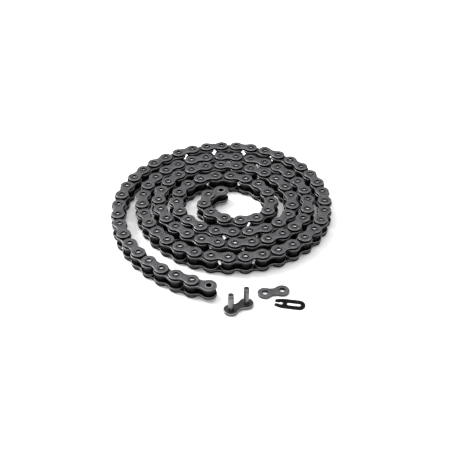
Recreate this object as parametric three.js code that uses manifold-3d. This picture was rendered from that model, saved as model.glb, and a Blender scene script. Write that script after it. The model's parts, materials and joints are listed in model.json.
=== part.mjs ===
// A motorcycle drive chain of the 520 size. It lies on its side in an open coil, so every pin stands
// upright, and the three loose parts of its connecting link lie in front of it.
// Millimetres, +Z up. Link n joins pin n to pin n + 1, counted from the end inside the coil. Even
// links are inner (bushings and rollers), odd links are outer (pins). Both end links are inner.
import * as THREE from "three";
import { mergeVertices } from "three/addons/utils/BufferGeometryUtils.js";
import Module from "manifold-3d";

const wasm = await Module();
wasm.setup();

// Sizes of the chain.
const PITCH = 15.875;
const PIN_COUNT = 118;
const LINK_COUNT = PIN_COUNT - 1;
const ROLLER_RADIUS = 5.08;
const INNER_WIDTH = 6.35;
const PLATE_THICKNESS = 2.4;
const PLATE_GAP = 0.3;
const PIN_RADIUS = 2.6;
const PIN_LENGTH = 18.2;
const BUSHING_RADIUS = 3.65;
const BUSHING_BORE_RADIUS = 3.1;
const INNER_PLATE = { end: 7.3, waist: 5 };
const OUTER_PLATE = { end: 6.6, waist: 4.2 };
const PLATE_END_REACH_DEGREES = 98;

// Levels above and below the middle of the chain's width.
const INNER_PLATE_LEVEL = INNER_WIDTH / 2;
const BUSHING_HALF = INNER_PLATE_LEVEL + PLATE_THICKNESS;
const OUTER_PLATE_LEVEL = BUSHING_HALF + PLATE_GAP;
const PIN_HALF = PIN_LENGTH / 2;

// Facets. The chain's running length is coarser than its end links and the loose parts.
const RUN = { endSteps: 4, pinSides: 6, rollerSides: 6, boreSides: 8 };
const END = { endSteps: 4, pinSides: 10, rollerSides: 10 };
const LOOSE = { endSteps: 6, pinSides: 12 };

// Clearances of the end links' separate pieces.
const PRESS_GAP = 0.05;
const ROLLER_GAP = 0.3;
const ROLLER_END_GAP = 0.25;

// Where the chain lies: its distance from the coil's middle at each of five spokes, turn by turn from
// the inner end outwards. The first spoke points FIRST_SPOKE_DEGREES from +X.
const SPOKES_PER_TURN = 5;
const FIRST_SPOKE_DEGREES = 72;
const SPOKE_RADII = [
  33, 20, 13.5, 21, 48.5,
  53, 48.5, 37.5, 42, 69.5,
  72, 67.5, 53.5, 59.5, 85,
  88.5, 83, 72, 80, 101.5,
  109, 101.5, 102, 120.5,
];
const ROUTE_START = 0.014;
const ROUTE_STEP = 1e-5;

// The free ends of the chain: the links that swing on their pins outside the fused coil.
const INNER_TAIL_LINKS = 4;
const OUTER_TAIL_LINKS = 13;
const SECTION_PAIRS = [2, 2, 2, 3, 3, 3, 3, 4, 4, 4, 4, 4, 4, 4, 4];

// The loose parts: place of the first pin or hole from the coil's middle, and heading in degrees.
const LOOSE_LINK = { x: 9.2, y: -131.7, heading: 31.5 };
const LOOSE_PLATE = { x: 39.6, y: -109.3, heading: 12 };
const LOOSE_CLIP = { x: 68.9, y: -124.1, heading: 170.2 };
const RIVET_HEAD = 0.6;
const LOOSE_PIN_LENGTH = 20;
const CLIP_GROOVE = { low: 17.4, high: 18.7, radius: 2.1 };
const CLIP = { thickness: 1.2, outer: 5.5, slot: 2.2, neck: 0.2, neckStart: 5, pocket: 2.2, tipReach: 5.2 };

const FINISHES = {
  plate: { color: 0x3a3b3d, roughness: 0.42, metalness: 0.85 },
  pin: { color: 0x57585a, roughness: 0.38, metalness: 0.9 },
  bushing: { color: 0x46464a, roughness: 0.4, metalness: 0.9 },
  roller: { color: 0x2b2826, roughness: 0.5, metalness: 0.8 },
  loosePlate: { color: 0x77787a, roughness: 0.4, metalness: 0.9 },
  loosePin: { color: 0x9a9b9d, roughness: 0.3, metalness: 0.95 },
  clip: { color: 0x1f2022, roughness: 0.45, metalness: 0.7 },
};

const model = new THREE.Group();
model.name = "drive_chain";
const lying = new THREE.Group();
model.add(lying);

function polygon(x, radius, sides) {
  const corners = [];
  for (let i = 0; i < sides; i++) {
    const angle = (2 * Math.PI * (i + 0.5)) / sides;
    corners.push(new THREE.Vector2(x + radius * Math.cos(angle), radius * Math.sin(angle)));
  }
  return corners;
}

function plateOutline(plate, steps) {
  // Two round ends about the pins, drawn in to a waist between them.
  const reach = THREE.MathUtils.degToRad(PLATE_END_REACH_DEGREES);
  const corners = [];
  for (const end of [0, 1]) {
    for (let i = 0; i <= steps; i++) {
      const angle = end * Math.PI - reach + (2 * reach * i) / steps;
      const centre = end === 0 ? PITCH : 0;
      corners.push(new THREE.Vector2(centre + plate.end * Math.cos(angle), plate.end * Math.sin(angle)));
    }
    corners.push(new THREE.Vector2(PITCH / 2, end === 0 ? plate.waist : -plate.waist));
  }
  return corners;
}

function extrude(corners, bottom, top, holes = []) {
  const shape = new THREE.Shape(corners);
  for (const hole of holes) {
    shape.holes.push(new THREE.Path(hole));
  }
  const geometry = new THREE.ExtrudeGeometry(shape, { depth: top - bottom, bevelEnabled: false });
  return geometry.translate(0, 0, bottom);
}

function toSolid(geometry) {
  geometry.deleteAttribute("normal");
  geometry.deleteAttribute("uv");
  const merged = mergeVertices(geometry, 1e-4);
  const vertProperties = new Float32Array(merged.attributes.position.array);
  const triVerts = new Uint32Array(merged.index.array);
  return new wasm.Manifold(new wasm.Mesh({ numProp: 3, vertProperties, triVerts }));
}

function joined(geometries) {
  return geometries.map(toSolid).reduce((sum, solid) => sum.add(solid));
}

function toGeometry(solid) {
  const mesh = solid.getMesh();
  const indexed = new THREE.BufferGeometry();
  indexed.setAttribute("position", new THREE.BufferAttribute(mesh.vertProperties, 3));
  indexed.setIndex(new THREE.BufferAttribute(mesh.triVerts, 1));
  const geometry = indexed.toNonIndexed();
  geometry.computeVertexNormals();
  return geometry;
}

function addMesh(name, geometry, finish, place = { x: 0, y: 0, z: 0, heading: 0 }) {
  const mesh = new THREE.Mesh(geometry, new THREE.MeshStandardMaterial(FINISHES[finish]));
  mesh.name = name;
  mesh.position.set(place.x, place.y, place.z);
  mesh.rotation.z = place.heading;
  lying.add(mesh);
}

function walkRoute() {
  // Sets the pins along the route, each one pitch in a straight line from the last.
  const spokes = new THREE.SplineCurve(SPOKE_RADII.map((radius, i) => new THREE.Vector2(i, radius)));
  const first = THREE.MathUtils.degToRad(FIRST_SPOKE_DEGREES);
  const pointAt = (t) => {
    const spoke = spokes.getPoint(t);
    const angle = first + (2 * Math.PI * spoke.x) / SPOKES_PER_TURN;
    return new THREE.Vector2(Math.cos(angle), Math.sin(angle)).multiplyScalar(spoke.y);
  };
  const pins = [pointAt(ROUTE_START)];
  let t = ROUTE_START;
  while (pins.length < PIN_COUNT) {
    const last = pins[pins.length - 1];
    while (pointAt(t).distanceTo(last) < PITCH) {
      t += ROUTE_STEP;
    }
    pins.push(pointAt(t).sub(last).setLength(PITCH).add(last));
  }
  return pins;
}

const PINS = walkRoute();

function linkPlace(link) {
  const near = PINS[link];
  const far = PINS[link + 1];
  return { x: near.x, y: near.y, z: PIN_HALF, heading: Math.atan2(far.y - near.y, far.x - near.x) };
}

function plates(plate, level, thickness, steps) {
  const outline = plateOutline(plate, steps);
  return [extrude(outline, level, level + thickness), extrude(outline, -level - thickness, -level)];
}

function shaft(x, radius, sides, half) {
  return extrude(polygon(x, radius, sides), -half, half);
}

function innerLinkPieces(thickness) {
  const pieces = plates(INNER_PLATE, INNER_PLATE_LEVEL, thickness, RUN.endSteps);
  for (const x of [0, PITCH]) {
    pieces.push(shaft(x, ROLLER_RADIUS, RUN.rollerSides, INNER_PLATE_LEVEL));
  }
  return pieces;
}

function outerLinkPieces() {
  const pieces = plates(OUTER_PLATE, OUTER_PLATE_LEVEL, PLATE_THICKNESS, RUN.endSteps);
  for (const x of [0, PITCH]) {
    pieces.push(shaft(x, PIN_RADIUS, RUN.pinSides, PIN_HALF));
  }
  return pieces;
}

function bore(x) {
  return shaft(x, BUSHING_BORE_RADIUS, RUN.boreSides, PIN_HALF);
}

function placed(geometry, place) {
  return geometry.rotateZ(place.heading).translate(place.x, place.y, place.z);
}

function addCoilSection(name, first, last) {
  // One fused stretch of the coil. Its first link is inner, with an open bore for the pin of the
  // section before it. The running gaps inside the section are filled.
  const pieces = [];
  for (let link = first; link <= last; link++) {
    const isInner = link % 2 === 0;
    const thickness = link === first ? PLATE_THICKNESS : PLATE_THICKNESS + PLATE_GAP;
    const linkPieces = isInner ? innerLinkPieces(thickness) : outerLinkPieces();
    if (link === first) {
      linkPieces.push(shaft(PITCH, BUSHING_RADIUS, RUN.pinSides, OUTER_PLATE_LEVEL));
    }
    for (const piece of linkPieces) {
      pieces.push(placed(piece, linkPlace(link)));
    }
  }
  const opening = placed(bore(0), linkPlace(first));
  addMesh(name, toGeometry(joined(pieces).subtract(toSolid(opening))), "plate");
}

function addSingleLink(name, link) {
  let solid;
  if (link % 2 === 0) {
    solid = joined(innerLinkPieces(PLATE_THICKNESS));
    solid = solid.subtract(toSolid(bore(0))).subtract(toSolid(bore(PITCH)));
  } else {
    solid = joined(outerLinkPieces());
  }
  addMesh(name, toGeometry(solid), "plate", linkPlace(link));
}

function addPlatePair(name, link, plate, level, holeRadius) {
  const outline = plateOutline(plate, END.endSteps);
  const holes = [0, PITCH].map((x) => polygon(x, holeRadius, END.pinSides));
  for (const [side, low] of [["top", level], ["bottom", -level - PLATE_THICKNESS]]) {
    const geometry = extrude(outline, low, low + PLATE_THICKNESS, holes);
    addMesh(`${name}_plate_${side}`, geometry, "plate", linkPlace(link));
  }
}

function addTube(name, link, x, outer, inner, half, finish) {
  const hole = polygon(x, inner, END.rollerSides);
  const geometry = extrude(polygon(x, outer, END.rollerSides), -half, half, [hole]);
  addMesh(name, geometry, finish, linkPlace(link));
}

function addInnerLinkParts(name, link) {
  addPlatePair(name, link, INNER_PLATE, INNER_PLATE_LEVEL, BUSHING_RADIUS + PRESS_GAP);
  const rollerBore = (BUSHING_RADIUS + ROLLER_GAP) / Math.cos(Math.PI / END.rollerSides);
  const rollerHalf = INNER_PLATE_LEVEL - ROLLER_END_GAP;
  for (const [end, x] of [["near", 0], ["far", PITCH]]) {
    addTube(`${name}_bushing_${end}`, link, x, BUSHING_RADIUS, BUSHING_BORE_RADIUS, BUSHING_HALF, "bushing");
    addTube(`${name}_roller_${end}`, link, x, ROLLER_RADIUS, rollerBore, rollerHalf, "roller");
  }
}

function addOuterLinkParts(name, link) {
  addPlatePair(name, link, OUTER_PLATE, OUTER_PLATE_LEVEL, PIN_RADIUS + PRESS_GAP);
  for (const [end, x] of [["near", 0], ["far", PITCH]]) {
    addMesh(`${name}_pin_${end}`, shaft(x, PIN_RADIUS, END.pinSides, PIN_HALF), "pin", linkPlace(link));
  }
}

function addInnerTail() {
  addInnerLinkParts("inner_tail_link_1", 0);
  addOuterLinkParts("inner_tail_link_2", 1);
  for (let link = 2; link < INNER_TAIL_LINKS; link++) {
    addSingleLink(`inner_tail_link_${link + 1}`, link);
  }
}

function addCoil() {
  let first = INNER_TAIL_LINKS;
  SECTION_PAIRS.forEach((pairs, i) => {
    const last = first + 2 * pairs - 1;
    addCoilSection(`coil_section_${String(i + 1).padStart(2, "0")}`, first, last);
    first = last + 1;
  });
}

function addOuterTail() {
  const first = LINK_COUNT - OUTER_TAIL_LINKS;
  for (let link = first; link < LINK_COUNT; link++) {
    const name = `outer_tail_link_${String(link - first + 1).padStart(2, "0")}`;
    if (link < LINK_COUNT - 3) {
      addSingleLink(name, link);
    } else if (link % 2 === 0) {
      addInnerLinkParts(name, link);
    } else {
      addOuterLinkParts(name, link);
    }
  }
}

function loosePlace(part, height) {
  return { x: part.x, y: part.y, z: height, heading: THREE.MathUtils.degToRad(part.heading) };
}

function addLoosePins() {
  const chamfer = 0.3;
  const profile = [
    [0, 0],
    [PIN_RADIUS, 0],
    [PIN_RADIUS, CLIP_GROOVE.low],
    [CLIP_GROOVE.radius, CLIP_GROOVE.low],
    [CLIP_GROOVE.radius, CLIP_GROOVE.high],
    [PIN_RADIUS, CLIP_GROOVE.high],
    [PIN_RADIUS, LOOSE_PIN_LENGTH - chamfer],
    [PIN_RADIUS - chamfer, LOOSE_PIN_LENGTH],
    [0, LOOSE_PIN_LENGTH],
  ].map(([radius, height]) => new THREE.Vector2(radius, height));
  for (const [name, x] of [["connecting_pin_1", 0], ["connecting_pin_2", PITCH]]) {
    const geometry = new THREE.LatheGeometry(profile, LOOSE.pinSides);
    geometry.rotateX(Math.PI / 2).rotateZ(Math.PI / LOOSE.pinSides).translate(x, 0, 0);
    addMesh(name, geometry, "loosePin", loosePlace(LOOSE_LINK, 0));
  }
}

function addLoosePlates() {
  const outline = plateOutline(OUTER_PLATE, LOOSE.endSteps);
  const holes = [0, PITCH].map((x) => polygon(x, PIN_RADIUS + PRESS_GAP, LOOSE.pinSides));
  const pinPlate = extrude(outline, 0, PLATE_THICKNESS, holes);
  addMesh("connecting_pin_plate", pinPlate, "loosePlate", loosePlace(LOOSE_LINK, RIVET_HEAD));
  const sidePlate = extrude(outline, 0, PLATE_THICKNESS, holes);
  addMesh("connecting_side_plate", sidePlate, "loosePlate", loosePlace(LOOSE_PLATE, 0));
}

function clipOutline() {
  // A spring clip: a round closed end about one pin, two arms along a slot, a neck that snaps over the
  // other pin, and a pocket for that pin which is open between the tapered tips.
  const tip = PITCH + CLIP.tipReach;
  const half = new THREE.Path();
  half.moveTo(-CLIP.slot, 0);
  half.absarc(0, 0, CLIP.slot, Math.PI, Math.PI / 2, true);
  half.lineTo(PITCH - CLIP.neckStart - 1.5, CLIP.slot);
  half.quadraticCurveTo(PITCH - CLIP.neckStart - 0.2, CLIP.slot, PITCH - CLIP.neckStart, CLIP.neck);
  half.lineTo(PITCH - CLIP.pocket, CLIP.neck);
  half.absarc(PITCH, 0, CLIP.pocket, 0.95 * Math.PI, 0.25 * Math.PI, true);
  half.lineTo(tip - 0.8, 1.4);
  half.quadraticCurveTo(tip, 1.5, tip, 2.5);
  half.quadraticCurveTo(tip, 3.8, tip - 1.5, 4.1);
  half.lineTo(PITCH - 1.5, CLIP.outer);
  half.lineTo(0, CLIP.outer);
  half.absarc(0, 0, CLIP.outer, Math.PI / 2, Math.PI, false);
  const upper = half.getPoints(3);
  const lower = upper.slice(1, -1).reverse();
  return upper.concat(lower.map((point) => new THREE.Vector2(point.x, -point.y)));
}

function addClip() {
  const geometry = extrude(clipOutline(), 0, CLIP.thickness);
  addMesh("spring_clip", geometry, "clip", loosePlace(LOOSE_CLIP, 0));
}

function standOnOrigin() {
  model.updateMatrixWorld(true);
  const box = new THREE.Box3().setFromObject(model, true);
  lying.position.set(-(box.min.x + box.max.x) / 2, -(box.min.y + box.max.y) / 2, 0);
  model.updateMatrixWorld(true);
}

addInnerTail();
addCoil();
addOuterTail();
addLoosePins();
addLoosePlates();
addClip();
standOnOrigin();

export default model;
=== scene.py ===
import json
import math

import bmesh
import bpy
from mathutils import Matrix, Vector

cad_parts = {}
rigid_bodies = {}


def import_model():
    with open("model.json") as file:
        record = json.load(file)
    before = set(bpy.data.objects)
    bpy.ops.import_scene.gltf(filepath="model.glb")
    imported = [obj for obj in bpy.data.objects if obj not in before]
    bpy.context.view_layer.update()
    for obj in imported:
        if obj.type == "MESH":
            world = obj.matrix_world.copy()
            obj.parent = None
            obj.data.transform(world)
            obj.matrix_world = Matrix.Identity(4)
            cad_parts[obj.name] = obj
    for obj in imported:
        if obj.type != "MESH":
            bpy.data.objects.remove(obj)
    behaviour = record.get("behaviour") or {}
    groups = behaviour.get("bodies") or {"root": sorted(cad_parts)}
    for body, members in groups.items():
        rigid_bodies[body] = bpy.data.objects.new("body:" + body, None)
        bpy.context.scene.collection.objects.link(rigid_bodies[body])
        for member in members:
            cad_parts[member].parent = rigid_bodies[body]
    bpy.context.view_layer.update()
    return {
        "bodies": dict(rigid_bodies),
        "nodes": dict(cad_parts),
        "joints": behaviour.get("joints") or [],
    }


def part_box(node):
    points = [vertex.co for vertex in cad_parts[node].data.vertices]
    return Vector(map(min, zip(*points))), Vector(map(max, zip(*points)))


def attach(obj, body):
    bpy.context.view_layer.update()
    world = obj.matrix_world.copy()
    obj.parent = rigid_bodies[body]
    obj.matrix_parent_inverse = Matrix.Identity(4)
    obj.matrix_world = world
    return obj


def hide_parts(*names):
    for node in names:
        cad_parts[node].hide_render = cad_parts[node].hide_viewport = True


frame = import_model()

MM = 0.001
JOINTS = {joint["name"]: Vector(joint["pos_m"]) for joint in frame["joints"] if "pos_m" in joint}
PITCH = (JOINTS["inner_tail_pin_1"].xy - JOINTS["inner_tail_pin_2"].xy).length
MIDDLE = JOINTS["inner_tail_pin_1"].z
INNER_TAIL_LINKS = 4
OUTER_TAIL_LINKS = 13

# Sizes of the chain's pieces.
INNER_PLATE = {"end": 7.3 * MM, "waist": 5.0 * MM}
OUTER_PLATE = {"end": 6.6 * MM, "waist": 4.2 * MM}
THICKNESS = 2.4 * MM
INNER_LEVEL = 3.175 * MM
OUTER_LEVEL = INNER_LEVEL + THICKNESS + 0.3 * MM
PIN_RADIUS = 2.6 * MM
PIN_HALF = 9.1 * MM
BUSHING_RADIUS = 3.65 * MM
BUSHING_BORE = 2.75 * MM
BUSHING_HALF = INNER_LEVEL + THICKNESS
ROLLER_RADIUS = 5.08 * MM
ROLLER_BORE = 3.9 * MM
ROLLER_HALF = 2.95 * MM
# Radius of the disc painted dark as shadow round a hole that the next link's plate lies over.
COVERED_RADIUS = 6.85 * MM
EDGE = 0.4 * MM
FINE_EDGE = 0.15 * MM
COUNTERSINK = 0.8 * MM
PIN_SEAM = 0.08 * MM
LOOSE_PLAY = 0.05 * MM
PRESSED_SEAM = 0.02 * MM

# Kinds of face, which number the materials of a piece: a plate's flat face or a pin's outside, a rim
# or the floor of a pin's hollow, on most pieces lightened as a painted highlight, a wall on most
# pieces painted dark as shade, and a plate's upright edge, which on the chain's plates is darkened as
# painted shade.
FACE, RIM, SHADED, WALL = range(4)

# Facets of the round shapes, and the angle between two facets from which their edge is sharp.
END_STEPS = 18
HOLE_SIDES = 28
ROUND_SIDES = 28
EDGE_STEPS = 3
SHARP_ANGLE = math.radians(32)
SHARPEST_MITRE = 0.5


# ---------------------------------------------------------------------------------- mesh building

class Shape:
    """Vertices and faces of one closed piece in its own place. A face's kind picks its material."""

    def __init__(self):
        self.points = []
        self.faces = []
        self.kinds = []

    def loop(self, corners, z):
        first = len(self.points)
        self.points.extend(Vector((x, y, z)) for x, y in corners)
        return list(range(first, len(self.points)))

    def band(self, lower, upper, kind):
        count = len(lower)
        for i in range(count):
            j = (i + 1) % count
            self.faces.append((lower[i], lower[j], upper[j], upper[i]))
            self.kinds.append(kind)

    def cap(self, outline, holes, upwards, kind):
        """Fills the flat region between an outline and its holes with triangles."""
        mesh = bmesh.new()
        verts = {}
        edges = []
        for ring in [outline, *holes]:
            for i in ring:
                verts[i] = mesh.verts.new(self.points[i])
            for i, j in zip(ring, ring[1:] + ring[:1]):
                edges.append(mesh.edges.new((verts[i], verts[j])))
        bmesh.ops.triangle_fill(mesh, use_beauty=True, use_dissolve=False, edges=edges)
        numbers = {vert: i for i, vert in verts.items()}
        for face in mesh.faces:
            corners = [numbers[vert] for vert in face.verts]
            face.normal_update()
            if (face.normal.z > 0) != upwards:
                corners.reverse()
            self.faces.append(tuple(corners))
            self.kinds.append(kind)
        mesh.free()

    def moved(self, matrix):
        copy = Shape()
        copy.points = [matrix @ point for point in self.points]
        copy.faces = self.faces
        copy.kinds = self.kinds
        return copy


def offset(corners, distance):
    """The outline moved inwards by a distance, corner by corner. Corners run counter-clockwise."""
    moved = []
    count = len(corners)
    for i, corner in enumerate(corners):
        before = (Vector(corner) - Vector(corners[i - 1])).normalized()
        after = (Vector(corners[(i + 1) % count]) - Vector(corner)).normalized()
        along = (before + after).normalized()
        inwards = Vector((-along.y, along.x))
        mitre = max(SHARPEST_MITRE, along.dot(after))
        moved.append(tuple(Vector(corner) + inwards * distance / mitre))
    return moved


def circle(x, radius, sides):
    angles = [2 * math.pi * i / sides for i in range(sides)]
    return [(x + radius * math.cos(angle), radius * math.sin(angle)) for angle in angles]


def plate_outline(plate):
    """Two round ends joined by hollow flanks, each an arc that runs smoothly into both ends."""
    end = plate["end"]
    waist = plate["waist"]
    half = PITCH / 2
    flank = (half * half + waist * waist - end * end) / (2 * (end - waist))
    lean = math.atan2(half, waist + flank)
    reach = math.pi / 2 + lean
    flank_steps = END_STEPS // 2
    corners = []
    for side, centre in ((1, PITCH), (-1, 0)):
        for i in range(END_STEPS + 1):
            angle = -reach + 2 * reach * i / END_STEPS
            corners.append((centre + side * end * math.cos(angle), side * end * math.sin(angle)))
        for i in range(1, flank_steps):
            sweep = lean - 2 * lean * i / flank_steps
            x = half + side * flank * math.sin(sweep)
            corners.append((x, side * (waist + flank - flank * math.cos(sweep))))
    return corners


def rounded_slab(outline, holes, low, high, edge, hole_edge, inside=0, covered=()):
    """A flat piece between two levels, with its rims and the mouths of its holes rounded over.
    Inside is 1 or -1 if the piece's upper or lower face looks into the chain; that face is painted
    dark all over as shade between the plates.
    Covered is the numbers of the holes whose surroundings the next link's plate lies over; round each
    a disc is painted dark as that plate's shadow."""
    shape = Shape()
    rings = [(outline, edge, 1)] + [(hole, hole_edge, -1) for hole in holes]
    bottoms = []
    tops = []
    for corners, radius, inwards in rings:
        loops = []
        for i in range(EDGE_STEPS + 1):
            angle = math.pi / 2 * i / EDGE_STEPS
            inset = inwards * radius * (1 - math.sin(angle))
            loops.append(shape.loop(offset(corners, inset), low + radius * (1 - math.cos(angle))))
        for i in range(EDGE_STEPS, -1, -1):
            angle = math.pi / 2 * i / EDGE_STEPS
            inset = inwards * radius * (1 - math.sin(angle))
            loops.append(shape.loop(offset(corners, inset), high - radius * (1 - math.cos(angle))))
        # Outline bands: the upper bevel takes the rim material, lightened as a painted highlight, the
        # upright edge takes the wall material, and the lower bevel is painted dark as shade. Hole
        # mouths are painted dark as shade all round.
        for i, (lower, upper) in enumerate(zip(loops, loops[1:])):
            if inwards > 0:
                kind = RIM if i > EDGE_STEPS else WALL if i == EDGE_STEPS else SHADED
                shape.band(lower, upper, kind)
            else:
                shape.band(upper, lower, SHADED)
        bottoms.append(loops[0])
        tops.append(loops[-1])
    for level, loops, upwards in ((high, tops, True), (low, bottoms, False)):
        # A face that looks into the chain is painted dark all over, as shade between the plates.
        inside_in_shade = inside != 0 and (inside > 0) == upwards
        inner_loops = loops[1:]
        if not inside_in_shade:
            # Round each covered hole a disc is painted dark, as the shadow of the next link's plate
            # over it.
            for i in covered:
                disc = shape.loop(circle(PITCH * i, COVERED_RADIUS, HOLE_SIDES), level)
                shape.cap(disc, [inner_loops[i]], upwards, SHADED)
                inner_loops[i] = disc
        shape.cap(loops[0], inner_loops, upwards, SHADED if inside_in_shade else FACE)
    return shape


def turned(profile, x=0.0, sides=ROUND_SIDES):
    """A lathe shape about the upright line at x. The profile runs from the bottom outwards and up,
    as (radius, height, kind of the band that follows). If it starts off the axis, it is a ring."""
    shape = Shape()
    loops = []
    for radius, z, _ in profile:
        if radius == 0:
            shape.points.append(Vector((x, 0, z)))
            loops.append([len(shape.points) - 1])
        else:
            loops.append(shape.loop(circle(x, radius, sides), z))
    pairs = list(zip(loops, loops[1:]))
    if profile[0][0] > 0:
        pairs.append((loops[-1], loops[0]))
    for (lower, upper), (_, _, kind) in zip(pairs, profile):
        if len(lower) == 1:
            for i in range(sides):
                shape.faces.append((lower[0], upper[(i + 1) % sides], upper[i]))
            shape.kinds.extend([kind] * sides)
        elif len(upper) == 1:
            for i in range(sides):
                shape.faces.append((lower[i], lower[(i + 1) % sides], upper[0]))
            shape.kinds.extend([kind] * sides)
        else:
            shape.band(lower, upper, kind)
    return shape


def make_piece(name, shapes, materials, body, nodes):
    """Joins shapes into one object that rides on a body and stands for CAD nodes."""
    points = []
    faces = []
    kinds = []
    for shape in shapes:
        first = len(points)
        points.extend(shape.points)
        faces.extend(tuple(first + i for i in face) for face in shape.faces)
        kinds.extend(shape.kinds)
    mesh = bpy.data.meshes.new(name)
    mesh.from_pydata(points, [], faces)
    for material in materials:
        mesh.materials.append(material)
    last = len(materials) - 1
    for polygon, kind in zip(mesh.polygons, kinds):
        polygon.material_index = min(kind, last)
        polygon.use_smooth = True
    mesh.set_sharp_from_angle(angle=SHARP_ANGLE)
    piece = bpy.data.objects.new(name, mesh)
    bpy.context.scene.collection.objects.link(piece)
    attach(piece, body)
    if nodes:
        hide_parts(*nodes)
    return piece


# -------------------------------------------------------------------------------------- materials

COOL = (1, 1, 1.06)
WARM = (1, 0.86, 0.8)


def spread(nodes, links, source, low, high):
    """The middle of a noise, stretched to run from low to high."""
    node = nodes.new("ShaderNodeMapRange")
    node.inputs["From Min"].default_value = 0.3
    node.inputs["From Max"].default_value = 0.7
    node.inputs["To Min"].default_value = low
    node.inputs["To Max"].default_value = high
    links.new(source, node.inputs["Value"])
    return node.outputs["Result"]


def noise(nodes, links, place, scale, detail):
    node = nodes.new("ShaderNodeTexNoise")
    node.inputs["Scale"].default_value = scale
    node.inputs["Detail"].default_value = detail
    node.inputs["Roughness"].default_value = 0.65
    links.new(place, node.inputs["Vector"])
    return node.outputs["Fac"]


def metal(name, dark, light, roughness, metallic, sheen=0.5, clouds=90, tint=COOL):
    """Steel whose oxide or oil runs in clouds from a dark tone to a light one, with fine pitting in
    the surface and a gloss that is uneven. Clouds is how many fit in a metre."""
    material = bpy.data.materials.new(name)
    material.use_nodes = True
    nodes = material.node_tree.nodes
    links = material.node_tree.links
    shader = nodes["Principled BSDF"]
    place = nodes.new("ShaderNodeTexCoord").outputs["Object"]
    cloud = noise(nodes, links, place, clouds, 6)
    mix = nodes.new("ShaderNodeMix")
    mix.data_type = "RGBA"
    mix.inputs["A"].default_value = (*(dark * part for part in tint), 1)
    mix.inputs["B"].default_value = (*(light * part for part in tint), 1)
    links.new(spread(nodes, links, cloud, 0, 1), mix.inputs["Factor"])
    links.new(mix.outputs["Result"], shader.inputs["Base Color"])
    gloss = spread(nodes, links, cloud, roughness + 0.07, roughness - 0.07)
    links.new(gloss, shader.inputs["Roughness"])
    bump = nodes.new("ShaderNodeBump")
    bump.inputs["Strength"].default_value = 0.25
    bump.inputs["Distance"].default_value = 0.02 * MM
    links.new(noise(nodes, links, place, 1400, 3), bump.inputs["Height"])
    links.new(bump.outputs["Normal"], shader.inputs["Normal"])
    shader.inputs["Metallic"].default_value = metallic
    shader.inputs["Specular IOR Level"].default_value = sheen
    return material


PLATE_STEEL = metal("plate_black_oxide", 0.022, 0.076, 0.44, 0.35, 0.4, clouds=240)
# Faces of the inner plates: the plate tone made darker, as painted shade under and between the outer
# plates.
INNER_STEEL_IN_SHADE = metal("inner_plate_painted_shade", 0.008, 0.034, 0.44, 0.3, 0.3, clouds=240)
# Upper rims of the chain plates: lighter, as a painted highlight.
RIM_HIGHLIGHT_STEEL = metal("plate_rim_painted_highlight", 0.1, 0.21, 0.36, 0.5, clouds=240)
# Upright edges of the inner plates: darker, as painted shade.
WALL_SHADE_STEEL = metal("plate_edge_painted_shade", 0.007, 0.036, 0.4, 0.3, 0.25, clouds=180)
# Near black, painted as shade: on hole walls, pin hollows and countersinks, downward bevels, ledges
# under the next plate, and faces between the parts.
PAINTED_SHADE_BLACK = metal("black_painted_shade", 0.0008, 0.003, 0.55, 0, 0.04, tint=WARM)
PIN_STEEL = metal("pin_blued", 0.08, 0.18, 0.32, 0.5)
# Floor of each pin's hollow: lightened as a painted highlight.
HOLLOW_HIGHLIGHT_STEEL = metal("pin_hollow_painted_highlight", 0.14, 0.5, 0.3, 1, clouds=60)
BUSHING_STEEL = metal("bushing_ground", 0.12, 0.32, 0.3, 0.7)
ROLLER_STEEL = metal("roller_oiled", 0.0014, 0.005, 0.44, 0.03, 0.07, tint=WARM)
LOOSE_STEEL = metal("loose_plate_phosphate", 0.025, 0.062, 0.42, 0.4, clouds=240)
# Upper rim of the side plate and upright edge of the connecting plate: lighter, as a painted
# highlight.
LOOSE_RIM_HIGHLIGHT = metal("loose_plate_rim_painted_highlight", 0.055, 0.1, 0.34, 0.6)
# The connecting plate's own dark steel, with the shade of its pins painted in; also the loose pins'
# tip hollows, painted dark as shade.
DARK_LOOSE_STEEL_AND_SHADE = metal("pin_plate_dark_and_painted_shade", 0.002, 0.022, 0.34, 0.3, 0.3, clouds=160)
# Rim of the connecting plate: lighter, as a painted highlight.
PIN_PLATE_RIM_HIGHLIGHT = metal("pin_plate_rim_painted_highlight", 0.16, 0.3, 0.3, 0.8)
BRIGHT_STEEL = metal("loose_pin_ground", 0.09, 0.19, 0.28, 0.9)
CLIP_STEEL = metal("clip_black", 0.001, 0.0035, 0.45, 0, 0.05)


# ------------------------------------------------------------------------------- where the pins are

def node_corners(node):
    """A CAD node's corners, each one once."""
    return {tuple(round(c, 6) for c in vert.co) for vert in frame["nodes"][node].data.vertices}


def pin_ends(node):
    """The middles of the pin ends that stand on top of a CAD node."""
    corners = node_corners(node)
    top = max(z for _, _, z in corners)
    groups = []
    for x, y, z in sorted(corners):
        if z < top - 0.1 * MM:
            continue
        point = Vector((x, y))
        near = [group for group in groups if (group[0] - point).length < PITCH / 2]
        if near:
            near[0].append(point)
        else:
            groups.append([point])
    return [sum(group, Vector((0, 0))) / len(group) for group in groups]


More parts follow.
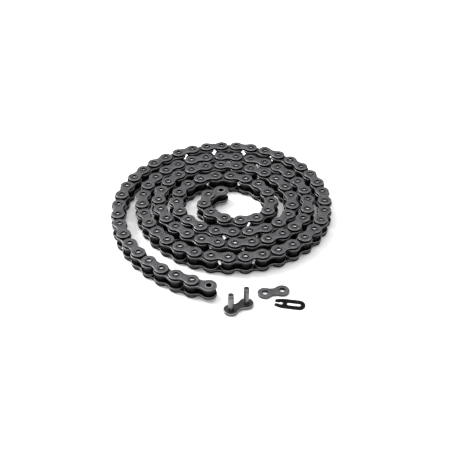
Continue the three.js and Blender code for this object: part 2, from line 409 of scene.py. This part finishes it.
def chain_pins():
    """Every pin's place, from the inner end outwards, and the links in each coil section."""
    pins = [JOINTS["inner_tail_1_roller_near_spin"].xy]
    pins += [JOINTS[f"inner_tail_pin_{i + 1}"].xy for i in range(INNER_TAIL_LINKS)]
    sections = {}
    for node in sorted(name for name in frame["nodes"] if name.startswith("coil_section_")):
        waiting = pin_ends(node)
        sections[node] = range(len(pins) - 1, len(pins) - 1 + len(waiting))
        while waiting:
            nearest = min(waiting, key=lambda point: (point - pins[-1]).length)
            waiting.remove(nearest)
            pins.append(nearest)
    pins += [JOINTS[f"outer_tail_{i + 1:02d}_pin"].xy for i in range(1, OUTER_TAIL_LINKS)]
    pins.append(JOINTS[f"outer_tail_{OUTER_TAIL_LINKS:02d}_roller_far_spin"].xy)
    return pins, sections


PINS, SECTIONS = chain_pins()
LINKS = len(PINS) - 1


def link_matrix(link):
    """Takes a link's own place, near pin at the origin and far pin along +X, to where it lies."""
    along = PINS[link + 1] - PINS[link]
    near = Vector((*PINS[link], MIDDLE))
    return Matrix.Translation(near) @ Matrix.Rotation(math.atan2(along.y, along.x), 4, "Z")


# ------------------------------------------------------------------------------- the chain's pieces

def ring_profile(outer, bore, half, edge):
    """A tube with rounded mouths. Its bore is painted dark as shade."""
    outside = [(outer - edge, half), (outer - edge * 0.3, half - edge * 0.3), (outer, half - edge)]
    corners = [(bore + edge, -half), *((radius, -z) for radius, z in outside), *reversed(outside)]
    return [
        *((radius, z, FACE) for radius, z in corners),
        (bore + edge, half, SHADED), (bore, half - edge, SHADED), (bore, -half + edge, SHADED),
    ]


def riveted_pin_profile():
    """A pin whose two ends are riveted over: a low head about a deep hollow. The hollow's walls and a
    ring round the head's foot are painted dark as shade, and the hollow's floor is lightened as a
    painted highlight.
    """
    end = [
        (2.6, -0.9, SHADED), (2.74, -0.5, SHADED), (2.72, -0.2, FACE), (2.62, -0.04, FACE),
        (2.42, 0.0, FACE), (2.28, -0.05, SHADED), (2.2, -0.25, SHADED), (2.15, -1.9, SHADED),
        (2.05, -2.25, RIM), (1.6, -2.55, RIM), (0.8, -2.7, RIM),
    ]
    top = [(radius * MM, PIN_HALF + depth * MM, kind) for radius, depth, kind in end]
    bottom = []
    for i in range(len(top) - 1, -1, -1):
        radius, z, _ = top[i]
        bottom.append((radius, -z, top[i - 1][2] if i > 0 else FACE))
    centre = PIN_HALF - 2.75 * MM
    return [(0, -centre, RIM), *bottom, *top, (0, centre, RIM)]


def plate_pair(plate, level, hole, hole_edge, covered=()):
    outline = plate_outline(plate)
    holes = [circle(x, hole, HOLE_SIDES) for x in (0, PITCH)]
    high = level + THICKNESS
    return {
        "top": rounded_slab(outline, holes, level, high, EDGE, hole_edge, -1, covered),
        "bottom": rounded_slab(outline, holes, -high, -level, EDGE, hole_edge, 1, covered),
    }


BUSHING_HOLE = BUSHING_RADIUS + PRESSED_SEAM
SHAPES = {
    **{
        name: plate_pair(INNER_PLATE, INNER_LEVEL, BUSHING_HOLE, FINE_EDGE, covered)
        for name, covered in (("inner_plate", (0, 1)), ("first_plate", (1,)), ("last_plate", (0,)))
    },
    "outer_plate": plate_pair(OUTER_PLATE, OUTER_LEVEL, PIN_RADIUS + PIN_SEAM, COUNTERSINK),
    "pin": {
        end: turned(riveted_pin_profile(), x)
        for end, x in (("near", 0), ("far", PITCH))
    },
    "bushing": {
        end: turned(ring_profile(BUSHING_RADIUS, BUSHING_BORE, BUSHING_HALF, FINE_EDGE), x)
        for end, x in (("near", 0), ("far", PITCH))
    },
    "roller": {
        end: turned(ring_profile(ROLLER_RADIUS, ROLLER_BORE, ROLLER_HALF, 2 * FINE_EDGE), x)
        for end, x in (("near", 0), ("far", PITCH))
    },
}
FINISHES = {
    # Inner plates get the darker face tone as painted shade under the outer plates; the chain's two
    # end plates lie open and keep the plain plate tone. Outer plates' upright edges are painted dark
    # as shade.
    "inner_plate": ([INNER_STEEL_IN_SHADE, RIM_HIGHLIGHT_STEEL, PAINTED_SHADE_BLACK, WALL_SHADE_STEEL], "chain_plate"),
    "end_plate": ([PLATE_STEEL, RIM_HIGHLIGHT_STEEL, PAINTED_SHADE_BLACK, WALL_SHADE_STEEL], "chain_plate"),
    "outer_plate": ([PLATE_STEEL, RIM_HIGHLIGHT_STEEL, PAINTED_SHADE_BLACK, PAINTED_SHADE_BLACK], "chain_plate"),
    "pin": ([PIN_STEEL, HOLLOW_HIGHLIGHT_STEEL, PAINTED_SHADE_BLACK], "chain_pin"),
    "bushing": ([BUSHING_STEEL, BUSHING_STEEL, PAINTED_SHADE_BLACK], "bushing_steel"),
    "roller": ([ROLLER_STEEL], "roller_steel"),
}


def link_shapes(link):
    """A link's separate pieces where they lie, as (kind, finish, which one, shape)."""
    matrix = link_matrix(link)
    kinds = [("plate", "outer_plate", "outer_plate"), ("pin", "pin", "pin")]
    if link % 2 == 0:
        plate = {0: "first_plate", LINKS - 1: "last_plate"}.get(link, "inner_plate")
        finish = "inner_plate" if plate == "inner_plate" else "end_plate"
        round_kinds = [(kind, kind, kind) for kind in ("bushing", "roller")]
        kinds = [("plate", finish, plate), *round_kinds]
    return [
        (kind, finish, which, shape.moved(matrix))
        for kind, finish, source in kinds
        for which, shape in SHAPES[source].items()
    ]


def build_coil():
    """Each coil section is joined by finish, because the section is one rigid CAD node."""
    for node, links in SECTIONS.items():
        by_finish = {}
        for link in links:
            for _, finish, _, shape in link_shapes(link):
                by_finish.setdefault(finish, []).append(shape)
        for finish, shapes in by_finish.items():
            materials, slot = FINISHES[finish]
            make_piece(f"{node}_{finish}s", shapes, materials, "coil", [node])


def build_tail(first, count, node_name, body_name):
    """The free links: every plate, pin, bushing and roller is a piece of its own."""
    for i in range(count):
        node = node_name.format(i + 1)
        body = body_name.format(i + 1)
        for kind, finish, which, shape in link_shapes(first + i):
            own_node = f"{node}_{kind}_{which}"
            own_body = f"{body}_roller_{which}"
            on_body = own_body if own_body in frame["bodies"] and kind == "roller" else body
            stands_for = own_node if own_node in frame["nodes"] else node
            materials, slot = FINISHES[finish]
            name = f"visual_{own_node}"
            make_piece(name, [shape], materials, on_body, [stands_for])


# ---------------------------------------------------------------------------------- the loose parts

def lie_of(node, towards):
    """A flat loose piece's middle, its long axis, on the side of towards, its turn and low end."""
    corners = [Vector(corner).xy for corner in sorted(node_corners(node))]
    middle = sum(corners, Vector((0, 0))) / len(corners)
    arms = [corner - middle for corner in corners]
    across = sum(2 * arm.x * arm.y for arm in arms)
    along = sum(arm.x ** 2 - arm.y ** 2 for arm in arms)
    angle = math.atan2(across, along) / 2
    axis = Vector((math.cos(angle), math.sin(angle)))
    if axis.dot(towards) < 0:
        angle += math.pi
        axis = -axis
    return middle, axis, angle, min(arm.dot(axis) for arm in arms)


def placed_at(point, angle, z):
    return Matrix.Translation(Vector((*point, z))) @ Matrix.Rotation(angle, 4, "Z")


def loose_plate(hole):
    holes = [circle(x, hole, HOLE_SIDES) for x in (0, PITCH)]
    return rounded_slab(plate_outline(OUTER_PLATE), holes, 0, THICKNESS, EDGE, FINE_EDGE)


def loose_pin_profile():
    """A pin with a riveted foot, a groove for the clip and a shallow hollow in its tip, painted dark
    as shade.
    """
    foot = [(0, 0), (2.1, 0), (2.6, 0.25), (2.75, 0.6), (2.6, 0.62)]
    groove = [(2.6, 17.3), (2.5, 17.4), (2.1, 17.45), (2.1, 18.65), (2.5, 18.7), (2.6, 18.8)]
    tip = [(2.6, 19.55), (2.45, 19.85)]
    hollow = [(2.15, 20.0), (1.5, 19.95), (1.2, 19.75), (0.7, 19.6), (0, 19.55)]
    parts = ((foot, FACE), (groove, FACE), (tip, FACE), (hollow, SHADED))
    return [(radius * MM, z * MM, kind) for part, kind in parts for radius, z in part]


def clip_outline():
    """A round closed end about one pin, two arms, a neck that snaps over the other, open tips."""
    outer = 5.5
    slot = 2.2
    neck = 0.2
    pocket = 2.2
    pitch = PITCH / MM
    tip = pitch + 5.2
    half = []
    for i in range(13):
        angle = math.pi - math.pi / 2 * i / 12
        half.append((slot * math.cos(angle), slot * math.sin(angle)))
    half += curve((pitch - 6.5, slot), (pitch - 5.2, slot), (pitch - 5, neck), 8)
    half.append((pitch - pocket - 0.4, neck))
    for i in range(9):
        angle = math.pi * (0.95 - 0.7 * i / 8)
        half.append((pitch + pocket * math.cos(angle), pocket * math.sin(angle)))
    half += curve((tip - 0.8, 1.4), (tip, 1.5), (tip, 2.5), 5)
    half += curve((tip, 2.5), (tip, 3.8), (tip - 1.5, 4.1), 6)[1:]
    half += curve((tip - 2.5, 4.4), (pitch - 0.8, outer), (pitch - 3, outer), 6)
    for i in range(13):
        angle = math.pi / 2 + math.pi / 2 * i / 12
        half.append((outer * math.cos(angle), outer * math.sin(angle)))
    mirrored = [(x, -y) for x, y in reversed(half[1:-1])]
    return [(x * MM, y * MM) for x, y in reversed(half + mirrored)], outer * MM


def curve(start, pull, end, steps):
    """Points along the arc from start to end that is drawn towards pull."""
    points = []
    for i in range(steps + 1):
        t = i / steps
        early, middle, late = (1 - t) ** 2, 2 * t * (1 - t), t * t
        corner = (early * a + middle * b + late * c for a, b, c in zip(start, pull, end))
        points.append(tuple(corner))
    return points


def build_connecting_link():
    node = "connecting_pin_plate"
    body = "connecting_link"
    pins = ["connecting_pin_1", "connecting_pin_2"]
    first, second = ((sum(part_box(pin), Vector()) / 2).xy for pin in pins)
    angle = math.atan2(second.y - first.y, second.x - first.x)
    plate = loose_plate(PIN_RADIUS + PRESSED_SEAM).moved(placed_at(first, angle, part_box(node)[0].z))
    # The face is dark steel with painted shade, the rim and upright edge are lightened as painted
    # highlights, and the hole walls and lower bevel are painted dark as shade.
    materials = [DARK_LOOSE_STEEL_AND_SHADE, PIN_PLATE_RIM_HIGHLIGHT, PAINTED_SHADE_BLACK, LOOSE_RIM_HIGHLIGHT]
    make_piece(f"visual_{node}", [plate], materials, body, [node])
    for pin, x in zip(pins, (0, PITCH)):
        shape = turned(loose_pin_profile(), x).moved(placed_at(first, angle, 0))
        # The tip hollows of the pins are painted dark as shade.
        materials = [BRIGHT_STEEL, BRIGHT_STEEL, DARK_LOOSE_STEEL_AND_SHADE]
        make_piece(f"visual_{pin}", [shape], materials, body, [pin])


def build_side_plate():
    node = "connecting_side_plate"
    middle, axis, angle, _ = lie_of(node, Vector((1, 0)))
    place = placed_at(middle - axis * PITCH / 2, angle, 0)
    plate = loose_plate(PIN_RADIUS + LOOSE_PLAY).moved(place)
    # The rim is lightened as a painted highlight; hole walls and lower bevel are painted dark as
    # shade.
    materials = [LOOSE_STEEL, LOOSE_RIM_HIGHLIGHT, PAINTED_SHADE_BLACK, LOOSE_STEEL]
    make_piece(f"visual_{node}", [plate], materials, "side_plate", [node])


def build_clip():
    node = "spring_clip"
    middle, axis, angle, low = lie_of(node, Vector((-1, 0)))
    corners, outer = clip_outline()
    shape = rounded_slab(corners, [], 0, 1.2 * MM, 0.2 * MM, 0)
    place = placed_at(middle + axis * (low + outer), angle, 0)
    make_piece(f"visual_{node}", [shape.moved(place)], [CLIP_STEEL], "clip", [node])


build_coil()
build_tail(0, INNER_TAIL_LINKS, "inner_tail_link_{}", "inner_tail_{}")
FIRST_OUTER = LINKS - OUTER_TAIL_LINKS
build_tail(FIRST_OUTER, OUTER_TAIL_LINKS, "outer_tail_link_{:02d}", "outer_tail_{:02d}")
build_connecting_link()
build_side_plate()
build_clip()


# ----------------------------------------------------------------------------- floor, light, camera

def white_floor():
    mesh = bpy.data.meshes.new("floor")
    reach = 3.0
    corners = [(-reach, -reach, 0), (reach, -reach, 0), (reach, reach, 0), (-reach, reach, 0)]
    mesh.from_pydata(corners, [], [(0, 1, 2, 3)])
    material = bpy.data.materials.new("floor_white")
    material.use_nodes = True
    shader = material.node_tree.nodes["Principled BSDF"]
    shader.inputs["Base Color"].default_value = (0.86, 0.86, 0.86, 1)
    shader.inputs["Roughness"].default_value = 0.7
    mesh.materials.append(material)
    floor = bpy.data.objects.new("floor", mesh)
    bpy.context.scene.collection.objects.link(floor)


def softbox(name, place, target, size, power):
    data = bpy.data.lights.new(name, "AREA")
    data.shape = "RECTANGLE"
    data.size = size[0]
    data.size_y = size[1]
    data.energy = power
    light = bpy.data.objects.new(name, data)
    light.location = place
    light.rotation_euler = (Vector(target) - Vector(place)).to_track_quat("-Z", "Y").to_euler()
    bpy.context.scene.collection.objects.link(light)


def studio():
    world = bpy.data.worlds.new("studio")
    world.use_nodes = True
    world.node_tree.nodes["Background"].inputs["Color"].default_value = (1, 1, 1, 1)
    world.node_tree.nodes["Background"].inputs["Strength"].default_value = 0.6
    bpy.context.scene.world = world
    softbox("overhead", (-0.1, 0.3, 1.3), (0, 0, 0), (1.8, 1.6), 19)
    softbox("front", (0.1, -1.3, 0.9), (0, 0, 0), (1.6, 0.8), 8)
    softbox("key", (-0.95, 0.35, 0.85), (0, 0, 0), (0.6, 0.5), 24)
    bpy.context.scene.view_settings.view_transform = "Standard"


def camera():
    data = bpy.data.cameras.new("camera")
    data.sensor_width = 36
    data.lens = 71.5
    data.clip_start = 0.01
    data.clip_end = 20
    view = bpy.data.objects.new("camera", data)
    view.location = (0.004, -0.6911, 0.5415)
    view.rotation_euler = (math.radians(90 - 38.03), 0, 0)
    bpy.context.scene.collection.objects.link(view)
    bpy.context.scene.camera = view


white_floor()
studio()
camera()
